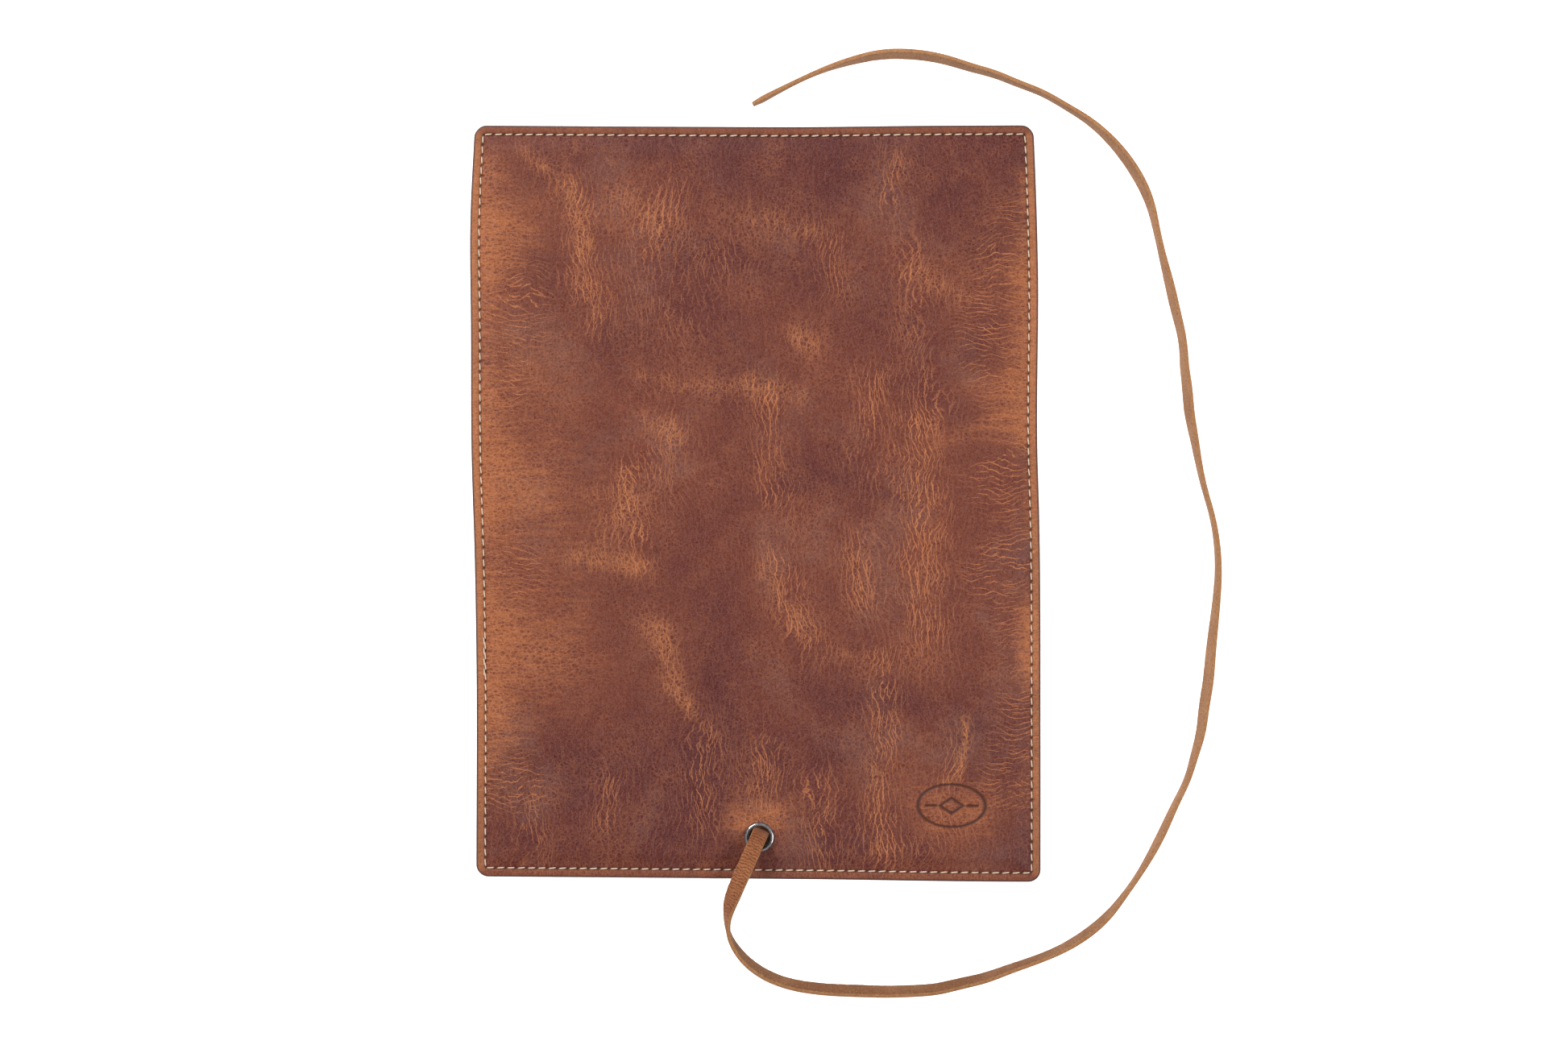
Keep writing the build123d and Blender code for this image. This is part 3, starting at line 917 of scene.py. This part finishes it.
def tube_faces(rings, sides, offset=0):
    """The quads of a tube of rings, with its two ends closed."""
    faces = []
    for k in range(rings - 1):
        for i in range(sides):
            j = (i + 1) % sides
            faces.append([offset + k * sides + i, offset + k * sides + j,
                          offset + (k + 1) * sides + j, offset + (k + 1) * sides + i])
    faces.append([offset + i for i in range(sides)][::-1])
    faces.append([offset + (rings - 1) * sides + i for i in range(sides)])
    return faces


def stitch_row(name, stitches, height, up, material):
    """Many stitches as one piece."""
    points, faces, dives, flats, count = [], [], [], [], 0
    for n, (start, end) in enumerate(stitches):
        mesh, dive = stitch_mesh(start, end, height, up, n)
        faces += tube_faces(STITCH_RINGS, STITCH_SIDES, count)
        points.append(mesh)
        dives.append(dive)
        flats.append(mesh + [0, 0, 7.0 * n])
        count += len(mesh)
    piece = new_object(name, np.concatenate(points), faces, material, 60)
    write_field(piece, "dive", np.concatenate(dives))
    write_flat(piece, np.concatenate(flats))
    return piece


def stitching():
    """The needle thread on the outer face and the bobbin thread on the inner face, half by half."""
    material = thread_material()
    both = seam_stitches() + back_tack()

    def outer(start, end):
        return RIM_TOP - 0.02

    def inner(start, end):
        under_sleeve = abs((start + end)[1] / 2) > SLEEVE_MOUTH
        return THREAD / 2 + 0.18 if under_sleeve else LINING_LOW + 0.2

    for name, front in HALVES:
        own = [s for s in both if ((s[0] + s[1])[1] < 1e-6) == front]
        for kind, height, up in (("needle", outer, 1), ("bobbin", inner, -1)):
            piece = stitch_row(f"{name}_{kind}_stitches", own, height, up, material)
            bend_with(piece, front)
            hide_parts(f"{name}_{kind}_thread", f"spine_{kind}_thread")


# ---- eyelet and strap


def eyelet(material):
    """The rolled eyelet, turned from its profile: (radius, height over its seat)."""
    seat = LEATHER_TOP - 0.05
    profile = [
        (5.78, -0.10), (5.84, 0.08), (5.80, 0.30), (5.62, 0.55), (5.32, 0.75), (4.98, 0.84), (4.64, 0.80),
        (4.34, 0.66), (4.13, 0.42), (4.03, 0.10), (4.0, -0.4), (4.0, -1.2), (4.0, -2.1), (4.2, -2.15),
        (4.4, -2.1), (4.45, -1.2), (4.45, -0.4), (4.7, -0.16), (5.2, -0.14),
    ]
    segments = 96
    angles = np.linspace(0, 2 * math.pi, segments, endpoint=False)
    points, faces = [], []
    for angle in angles:
        c, s = math.cos(angle), math.sin(angle)
        points += [(EYELET_X + radius * c, EYELET_Y + radius * s, seat + z) for radius, z in profile]
    n = len(profile)
    for k in range(segments):
        for i in range(n):
            a, b = k * n, (k + 1) % segments * n
            j = (i + 1) % n
            faces.append([a + j, a + i, b + i, b + j])
    piece = new_object("eyelet_ring", points, faces, material, 80)
    rounding = piece.modifiers.new("rounding", "SUBSURF")
    rounding.levels = rounding.render_levels = 1
    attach(piece, "front")
    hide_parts("eyelet")


STRAP_WIDTH, STRAP_THICKNESS = 6.3, 1.8
STRAP_Z = 3.3
# The CAD model's route, but for the first points: they rise at the far side of the eyelet's hole.
STRAP_ROUTE = [
    (1.7, -127.1, 1.6), (1.7, -127.1, 4.6), (0.9, -128.4, 9.6), (-3.2, -137.4, 14.6), (-7.9, -147.9, 13.4),
    (-11.4, -157.2, 9.3), (-11.5, -165.6, 6.0), (-8.2, -172.8, 4.1), (-1.6, -179.8, STRAP_Z),
    (8.4, -185.2, STRAP_Z), (22.0, -188.1, STRAP_Z), (42.0, -188.9, STRAP_Z), (68.0, -188.8, STRAP_Z),
    (98.0, -181.0, STRAP_Z), (130.4, -168.0, STRAP_Z), (148.0, -143.6, STRAP_Z), (164.2, -115.0, STRAP_Z),
    (173.0, -84.0, STRAP_Z), (177.2, -50.0, STRAP_Z), (179.2, -16.0, STRAP_Z), (170.4, 15.0, STRAP_Z),
    (165.8, 43.0, STRAP_Z), (164.6, 65.0, STRAP_Z), (156.8, 98.0, STRAP_Z), (150.4, 122.5, STRAP_Z),
    (136.0, 144.0, STRAP_Z), (110.0, 159.0, STRAP_Z), (82.0, 169.9, STRAP_Z), (55.0, 175.9, STRAP_Z),
    (30.0, 170.0, STRAP_Z), (10.0, 161.0, STRAP_Z), (-1.7, 154.5, STRAP_Z),
]
# How far the strap is turned about its own line, in degrees from flat: (millimetres along it, turn).
STRAP_TURN = [
    (0, 0), (20, -6), (34, -30), (44, -74), (50, -90), (60, -108), (80, -117), (130, -114), (170, -112),
    (203, -103), (230, -97), (270, -101), (310, -109), (355, -99), (400, -99), (420, -108), (480, -102),
    (518, -109), (550, -102), (617, -106), (652, -93), (676, -92),
]


def route_line(name, points):
    """The points along a smooth line that has these route points as its control points, in millimetres."""
    curve = bpy.data.curves.new(name, "CURVE")
    curve.dimensions = "3D"
    spline = curve.splines.new("NURBS")
    spline.points.add(len(points) - 1)
    for control, point in zip(spline.points, points):
        control.co = (*(c * MM for c in point), 1)
    spline.order_u = 3
    spline.use_endpoint_u = True
    curve.resolution_u = 24
    holder = bpy.data.objects.new(name, curve)
    mesh = bpy.data.meshes.new_from_object(holder)
    line = np.array([v.co for v in mesh.vertices]) / MM
    bpy.data.objects.remove(holder)
    bpy.data.curves.remove(curve)
    bpy.data.meshes.remove(mesh)
    return line


def run_along(line):
    """How far along a line each of its points is."""
    return np.concatenate([[0], np.cumsum(np.linalg.norm(np.diff(line, axis=0), axis=1))])


STRAP_SIDES = 24


def section(width, thickness):
    """A flat strap's cross-section with rounded corners: across and through."""
    a = np.linspace(0, 2 * math.pi, STRAP_SIDES, endpoint=False) + math.pi / STRAP_SIDES
    power = 0.28
    across = np.sign(np.cos(a)) * np.abs(np.cos(a)) ** power
    through = np.sign(np.sin(a)) * np.abs(np.sin(a)) ** power
    return across * width / 2, through * thickness / 2


def ribbon(name, line, turn, widths, thicknesses, material, side=None):
    """A flat strap that follows a line, turned about it by an angle at each point from the side direction, or
    from level. Where the line is nearly upright, level is taken from the first point where it isn't."""
    ahead = np.gradient(line, axis=0)
    ahead /= np.linalg.norm(ahead, axis=1, keepdims=True)
    if side is None:
        side = np.cross(ahead, [0, 0, 1.0])
        steep = np.linalg.norm(side, axis=1) < 0.35
        side[steep] = side[~steep][0]
    side = side / np.linalg.norm(side, axis=1, keepdims=True)
    up = np.cross(side, ahead)
    run = run_along(line)
    points, flats, cuts, grains = [], [], [], []
    for k, centre in enumerate(line):
        across, through = section(widths[k], thicknesses[k])
        slow = math.sin(run[k] * 1.1 + 2 * math.sin(run[k] * 0.37))
        uneven = 1 + 0.018 * slow + 0.012 * math.sin(run[k] * 2.9)
        across = np.where(across > 0, across * uneven, across)
        c, s = math.cos(turn[k]), math.sin(turn[k])
        wide = c * side[k] + s * up[k]
        thick = -s * side[k] + c * up[k]
        points.append(centre + across[:, None] * wide + through[:, None] * thick)
        flats.append(np.stack([np.full(STRAP_SIDES, run[k]), across, through * 3], -1))
        cuts.append(smooth((np.abs(across) - widths[k] / 2 + 0.3) / 0.25))
        grains.append(smooth(through / thicknesses[k] + 0.3) * smooth((62 - run[k]) / 20))
    piece = new_object(name, np.concatenate(points), tube_faces(len(line), STRAP_SIDES), material, 50)
    write_flat(piece, np.concatenate(flats))
    write_field(piece, "cut", np.concatenate(cuts))
    write_field(piece, "grain_side", np.concatenate(grains))
    return piece


def wavering(line):
    """A line lying on the floor with the small kinks of a strap that has been tied many times."""
    run = run_along(line)
    ahead = np.gradient(line, axis=0)
    beside = np.cross(ahead / np.linalg.norm(ahead, axis=1, keepdims=True), [0, 0, 1.0])
    kink = 0.4 * np.sin(run / 15 + 2.2 * np.sin(run / 41)) + 0.13 * np.sin(run / 5.1 + 3 * np.sin(run / 23))
    return line + beside * (kink * smooth((run - 90) / 60))[:, None]


def tie_strap(material):
    """The strap's free length: flat over the cover's edge, then turned up on its edge round the loop."""
    line = wavering(route_line("strap_route", STRAP_ROUTE))
    run = run_along(line)
    turn = np.radians(smooth_through(STRAP_TURN, run * STRAP_TURN[-1][0] / run[-1]))
    turn = turn + 0.09 * np.sin(run / 11 + 2 * np.sin(run / 37)) * smooth((run - 70) / 40)
    to_tip = run[-1] - run
    widths = STRAP_WIDTH * (0.5 + 0.5 * smooth(to_tip / 6.0) ** 0.7)
    thicknesses = STRAP_THICKNESS * (0.8 + 0.2 * smooth(to_tip / 4.0))
    piece = ribbon("strap_lace", line, turn, widths, thicknesses, material)
    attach(piece, "front")
    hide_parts("tie_strap")


def strap_tail(material):
    """The strap's hidden end: down the eyelet, then thinned and flat on the lining."""
    low, high = box_mm("strap_tail")
    bottom = low[2] + 0.35
    route = [
        STRAP_ROUTE[1], STRAP_ROUTE[0], (STRAP_ROUTE[0][0], EYELET_Y + 2.4, bottom + 0.3),
        (EYELET_X, EYELET_Y + 5.0, bottom), (EYELET_X, high[1] - 0.3, bottom),
    ]
    line = route_line("tail_route", route)
    flatness = smooth((line[:, 1] - EYELET_Y - 2.0) / 2.0)
    thinned = 0.6
    thicknesses = (STRAP_THICKNESS - 0.1) * (1 - flatness) + thinned * flatness
    ahead = np.array(STRAP_ROUTE[3]) - STRAP_ROUTE[1]
    side = np.tile([-ahead[1], ahead[0], 0.0], (len(line), 1))
    widths = np.full(len(line), STRAP_WIDTH - 0.1)
    piece = ribbon("strap_tail_lace", line, np.zeros(len(line)), widths, thicknesses, material, side)
    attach(piece, "front")
    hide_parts("strap_tail")


# ---- stage, light and camera


def floor():
    """A plain pale floor. It sinks with the cover's far half where a crease folds that half down."""
    s = Shader("floor", roughness=0.9, specular=0.05, Emission_Color=(1, 1, 1, 1), Emission_Strength=0.6)
    soft = s.noise(s.node("ShaderNodeTexCoord", {}).outputs["Object"], 6.0, 2.0)
    material = s.finish(s.mix(s.span(soft, 0.3, 0.7), srgb(250, 250, 250), srgb(253, 253, 253)))
    half = 20000
    corners = [(-half, -half, 0), (half, -half, 0), (half, half, 0), (-half, half, 0)]
    plane = new_object("floor", corners, [[0, 1, 2, 3]], material)
    far_edge = bpy.data.objects.new("far_edge", None)
    bpy.context.scene.collection.objects.link(far_edge)
    far_edge.location = (0, HALF_LENGTH * MM, LEATHER_TOP * MM)
    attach(far_edge, "back")
    follow = plane.constraints.new("COPY_LOCATION")
    follow.target = far_edge
    follow.use_x = follow.use_y = False
    stop = plane.constraints.new("LIMIT_LOCATION")
    stop.use_max_z = True
    stop.max_z = 0


def lamp(name, place_m, size, power):
    """A soft square lamp that shines on the middle of the cover."""
    light = bpy.data.lights.new(name, "AREA")
    light.shape = "SQUARE"
    light.size = size
    light.energy = power
    made = bpy.data.objects.new(name, light)
    bpy.context.scene.collection.objects.link(made)
    made.location = place_m
    made.rotation_euler = (-Vector(place_m)).to_track_quat("-Z", "Y").to_euler()


def lights():
    """A white studio, brighter overhead than at the sides, and two soft lamps: back left and right."""
    world = bpy.data.worlds.new("studio")
    world.use_nodes = True
    tree = world.node_tree
    direction = tree.nodes.new("ShaderNodeTexCoord")
    height = tree.nodes.new("ShaderNodeSeparateXYZ")
    brightness = tree.nodes.new("ShaderNodeMapRange")
    limits = {"From Min": -0.05, "From Max": 0.95, "To Min": 0.2, "To Max": 0.7}
    for socket, value in limits.items():
        brightness.inputs[socket].default_value = value
    tree.links.new(direction.outputs["Generated"], height.inputs["Vector"])
    tree.links.new(height.outputs["Z"], brightness.inputs["Value"])
    tree.links.new(brightness.outputs["Result"], tree.nodes["Background"].inputs["Strength"])
    tree.nodes["Background"].inputs["Color"].default_value = (1, 1, 1, 1)
    bpy.context.scene.world = world
    lamp("key", (-0.9, 1.0, 1.3), 0.8, 29)
    lamp("fill", (1.1, -0.3, 1.4), 0.8, 14)
    bpy.context.scene.view_settings.view_transform = "Standard"


def camera():
    """Straight down on the open cover, far enough off to look flat, as wide as the strap's loop needs."""
    middle = (10.5 * MM, -7.5 * MM)
    across = 608 * MM
    data = bpy.data.cameras.new("camera")
    data.lens = 100
    data.clip_start = 0.01
    made = bpy.data.objects.new("camera", data)
    bpy.context.scene.collection.objects.link(made)
    made.location = (*middle, across * data.lens / data.sensor_width)
    data.clip_end = 20
    bpy.context.scene.camera = made


camera()
strap_leather = strap_material()
dark_nickel = metal_material()
tie_strap(strap_leather)
strap_tail(strap_leather)
outer_leather()
lining()
interlining()
sleeves()
stitching()
eyelet(dark_nickel)
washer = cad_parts["eyelet_washer"]
washer.data.materials.clear()
washer.data.materials.append(dark_nickel)
floor()
lights()
